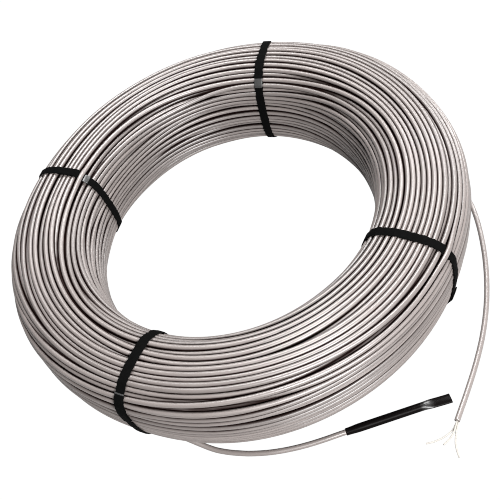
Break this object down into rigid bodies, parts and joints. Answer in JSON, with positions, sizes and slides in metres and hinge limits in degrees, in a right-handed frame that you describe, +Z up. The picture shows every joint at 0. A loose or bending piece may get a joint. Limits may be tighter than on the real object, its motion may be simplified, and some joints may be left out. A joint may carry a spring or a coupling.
{
  "type": "heating cable",
  "caption": "Floor heating cable wound into a fat ring and strapped, with a sleeved end and a wired lead lying beside it.",
  "frame": {"origin": "on the floor under the straps, on the coil's axis", "axes": "+Z up along the coil's axis; the sleeved end lies on the -Y side, heading +X, and the lead's wires lie just beyond it"},
  "size_m": [0.4528, 0.4961, 0.1021],
  "materials": {
    "cable_jacket": "smooth extruded PVC, semi-gloss",
    "strap_webbing": "black hook-and-loop tape, matt",
    "heat_shrink": "black polyolefin heat-shrink, satin",
    "wire_insulation": "white wire insulation, smooth"
  },
  "bodies": {
    "root": {"cable_coil": "cable_jacket", "strap_1": "strap_webbing", "strap_2": "strap_webbing", "strap_3": "strap_webbing", "strap_4": "strap_webbing", "end_tail": "cable_jacket", "end_sleeve": "heat_shrink", "cold_lead": "cable_jacket", "lead_wire_1": "wire_insulation", "lead_wire_2": "wire_insulation", "lead_wire_3": "wire_insulation"}
  },
  "joints": []
}
